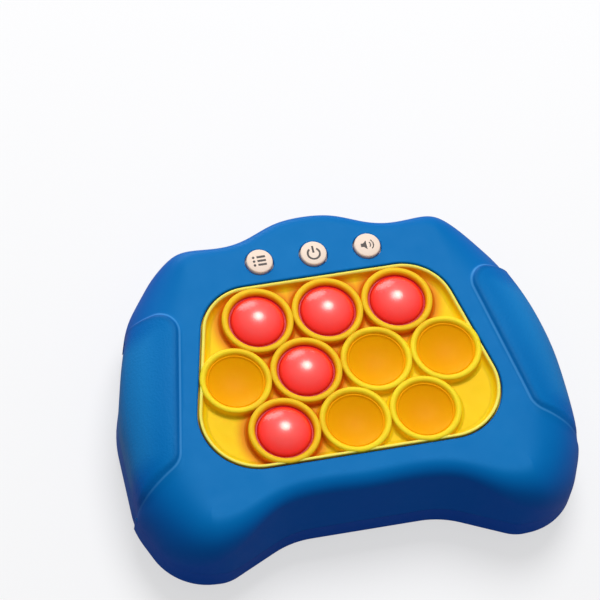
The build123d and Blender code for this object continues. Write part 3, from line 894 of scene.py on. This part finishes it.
def dish_look():
    """Amber silicone of the dishes, darker towards the middle, with a faint painted glow that flattens their
    shading.
    """
    look = silicone_look("amber_silicone", amber_light, amber_dark, mat_shine, 0.5)
    look.colour(look.mix(look.between(look.attribute("rim_share"), 0.0, 1.0), amber_dark, amber_light))
    # Painted light: a faint glow of their own.
    look.glow(look.base, amber_glow)
    return look.material


def metal_look(name, light, dark, roughness):
    """Plated steel with fine scratches."""
    look = Look(name, light, roughness)
    look.colour(look.mix(look.noise(3.0), dark, light))
    look.vary_gloss(0.8, roughness - 0.08, roughness + 0.12)
    look.bump(look.noise(0.25), 0.004, 0.15)
    look.set(Metallic=1.0)
    return look.material


def board_look():
    """Green solder mask with a faint net of copper tracks under it."""
    look = Look("solder_mask", board_light, 0.35)
    brick = look.node(
        "ShaderNodeTexBrick", Scale=1 / (9 * MM), Mortar_Size=0.06,
        Color1=board_light, Color2=board_light, Mortar=board_dark,
    )
    look.link(look.place, brick.inputs["Vector"])
    look.colour(brick.outputs["Color"])
    look.bump(brick.outputs["Fac"], 0.03, 0.2)
    return look.material


# Colours of the casing
casing_light = linear(0, 116, 188)
casing_dark = linear(0, 107, 181)
# Painted shade: deeper blue for steep walls.
casing_wall_shade = linear(0, 80, 196)
# Painted highlight over the grip zones.
casing_grip_highlight = linear(30, 134, 204)
casing_shade = linear(0, 68, 136)
# Painted highlight along the grip step's edge.
casing_edge_highlight = linear(84, 166, 232)
casing_shine = (0.2, 0.6, 1.0, 1.0)

# Grip zones: the band of distances from a zone's edge in which its step is drawn, the places in that
# band of the painted highlight line and of the painted shadow inside it, how strongly both show along the
# zone's length, how far inside the zone a painted highlight makes its surface paler, and its coarse grain
grip_band = (-3.0, 4.0)
edge_highlight_steps = ((0.41, grey(0)), (0.47, grey(1)), (0.51, grey(1)), (0.58, grey(0)))
shadow_steps = ((0.0, grey(0)), (0.36, grey(0.8)), (0.44, grey(0)))
fade_places = (-42 * MM, -26 * MM)
fade_shares = (0.08, 0.5)
grip_highlight_band = (-4.0, -14.0)
grip_highlight_share = 0.7
grip_grain = 0.12
grip_grain_size = 0.9

# Colours of the mat, and how far from a lit bubble's middle its painted glow starts to fall, ends, and how
# much of it reaches the crests
mat_light = linear(255, 213, 24)
mat_dark = linear(254, 204, 14)
mat_shine = (1.0, 0.72, 0.15, 1.0)
# Painted highlight on the ring crests.
crest_highlight = linear(255, 224, 44)
# Painted highlight along the lip's crest.
lip_highlight = linear(255, 240, 110)
# Painted glow from the lit bubbles.
glow_colour = linear(216, 82, 8)
glow_near = 13.0
glow_far = 19.5
glow_crest = 0.25

# Colours of the bubbles, from the painted hot spot in the middle of a lit one to its painted deep red rim
# shade, and where its glossy coat ends
lit_shine = (1.0, 0.8, 0.85, 1.0)
lit_red = linear(255, 40, 30)
# Painted shade at a lit bubble's rim.
lit_rim_shade = linear(176, 10, 16)
lit_soft = linear(250, 72, 68)
lit_pink = linear(250, 92, 88)
hot_edge = linear(255, 176, 156)
hot_spot = linear(255, 232, 206)
lit_steps = (
    (0.0, hot_spot), (0.07, hot_edge), (0.2, lit_pink), (0.62, lit_soft), (0.87, lit_red), (1.0, lit_rim_shade),
)
lit_glow = 0.32
coat_weights = (0.8, 0.0)
coat_shares = (0.9, 0.98)
amber_light = linear(236, 162, 0)
amber_dark = linear(228, 148, 0)
# Painted glow of the dishes.
amber_glow = 0.12

# Colours of the buttons and of what is inside
cream_light = linear(250, 230, 212)
cream_dark = linear(243, 216, 196)
ink_light = linear(62, 44, 36)
ink_dark = linear(44, 30, 26)
black_light = linear(46, 46, 50)
black_dark = linear(30, 30, 34)
white_light = linear(238, 238, 232)
white_dark = linear(222, 222, 216)
board_light = linear(24, 104, 58)
board_dark = linear(14, 72, 40)
steel_light = linear(196, 198, 202)
steel_dark = linear(150, 152, 158)
sleeve_light = linear(70, 74, 82)
sleeve_dark = linear(44, 48, 56)
paper_light = linear(70, 64, 58)
paper_dark = linear(48, 44, 40)

# Materials
casing_plastic = casing_look()
mat_silicone = mat_look()
lit_silicone = lit_bubble_look()
amber_silicone = dish_look()
cream_plastic = moulded("button_plastic", cream_light, cream_dark, 0.5, 0.004, 0.4, edges=0.1).material
icon_ink = moulded("icon_ink", ink_light, ink_dark, 0.5, 0.004, 0.3, edges=0.0).material
black_plastic = moulded("black_plastic", black_light, black_dark, 0.5, 0.01, 0.3).material
white_plastic = moulded("white_plastic", white_light, white_dark, 0.45, 0.008, 0.5).material
steel = metal_look("plated_steel", steel_light, steel_dark, 0.32)
solder_mask = board_look()
sleeve = moulded("cell_sleeve", sleeve_light, sleeve_dark, 0.3, 0.003, 1.0, coat=0.4).material
cone_paper = moulded("cone_paper", paper_light, paper_dark, 0.85, 0.03, 0.5).material
finish_of = {
    "rear_shell": casing_plastic,
    "battery_door": casing_plastic,
    "light_grid": white_plastic,
    "light_cap": white_plastic,
    "leds": white_plastic,
    "circuit_board": solder_mask,
    "switch_bodies": black_plastic,
    "controller_chip": black_plastic,
    "speaker_frame": black_plastic,
    "speaker_cone": cone_paper,
    "speaker_magnet": steel,
    "speaker_contacts": steel,
    "battery_contacts": steel,
    "case_screws": steel,
    "door_screw": steel,
    "cells": sleeve,
}
for name, item in frame["nodes"].items():
    matches = [finish for start, finish in finish_of.items() if name.startswith(start)]
    item.data.materials.clear()
    item.data.materials.append(matches[0] if matches else black_plastic)

make_casing(casing_plastic)
make_mat(mat_silicone)
for number in numbers:
    make_bubble(number, lit_silicone if number in lit else amber_silicone)
for name in buttons:
    make_button(name, cream_plastic, icon_ink)

# Lamps: places and sizes in metres, power in watts
lamps = {
    "key": ((0.2, 0.6, 1.28), 0.8, 15.0),
    "rim": ((-0.15, 1.35, 0.25), 0.9, 6.5),
}
lamp_target = (0, 0, 0.03)
for name, (place, size, power) in lamps.items():
    lamp = bpy.data.lights.new(name, "AREA")
    lamp.shape, lamp.size, lamp.energy = "DISK", size, power
    item = bpy.data.objects.new(name, lamp)
    item.location = place
    item.rotation_euler = (Vector(lamp_target) - Vector(place)).to_track_quat("-Z", "Y").to_euler()
    bpy.context.scene.collection.objects.link(item)

# Floor and world: white to the camera, darker to the object
floor_half = 4.0
floor_drop = 0.0002
floor_glow = 0.62
world_light = 0.25
floor_mesh = bpy.data.meshes.new("floor")
corners = [(x, y, 0) for x, y in box_outline((0, 0), floor_half, floor_half)]
floor_mesh.from_pydata(corners, [], [(0, 1, 2, 3)])
floor = bpy.data.objects.new("floor", floor_mesh)
floor.location.z = -floor_drop
bpy.context.scene.collection.objects.link(floor)
ground = Look("floor", linear(158, 158, 160), 0.9)
floor_mesh.materials.append(ground.material)
seen = ground.node("ShaderNodeLightPath").outputs["Is Camera Ray"]
ground.set(Emission_Color=grey(1))
ground.link(ground.times(seen, floor_glow), ground.surface.inputs["Emission Strength"])

world = bpy.data.worlds.new("studio")
bpy.context.scene.world = world
world.use_nodes = True
sky = world.node_tree
strength = sky.nodes.new("ShaderNodeMapRange")
strength.inputs["To Min"].default_value = world_light
sky.links.new(sky.nodes.new("ShaderNodeLightPath").outputs["Is Camera Ray"], strength.inputs["Value"])
sky.links.new(strength.outputs["Result"], sky.nodes["Background"].inputs["Strength"])
sky.nodes["Background"].inputs["Color"].default_value = grey(1)

# Camera, as the photograph was taken
azimuth, elevation, roll = math.radians(-22.966), math.radians(60.987), math.radians(11.662)
shift_x, shift_y, distance = 15.534, -23.685, 1492.782
focal_length, film, clip_end = 240.0, 36.0, 20.0
back = Vector((
    math.sin(azimuth) * math.cos(elevation),
    -math.cos(azimuth) * math.cos(elevation),
    math.sin(elevation),
))
right = Vector((0, 0, 1)).cross(back).normalized()
up = back.cross(right)
right, up = (
    right * math.cos(roll) + up * math.sin(roll),
    up * math.cos(roll) - right * math.sin(roll),
)
camera_data = bpy.data.cameras.new("camera")
camera_data.lens, camera_data.sensor_width, camera_data.sensor_height = focal_length, film, film
camera_data.clip_end = clip_end
camera = bpy.data.objects.new("camera", camera_data)
place = back * distance - right * shift_x - up * shift_y + Vector((0, 0, crest))
turn = Matrix((right, up, back)).transposed().to_4x4()
camera.matrix_world = Matrix.Translation(place * MM) @ turn
bpy.context.scene.collection.objects.link(camera)
bpy.context.scene.camera = camera
bpy.context.scene.view_settings.view_transform = "Standard"
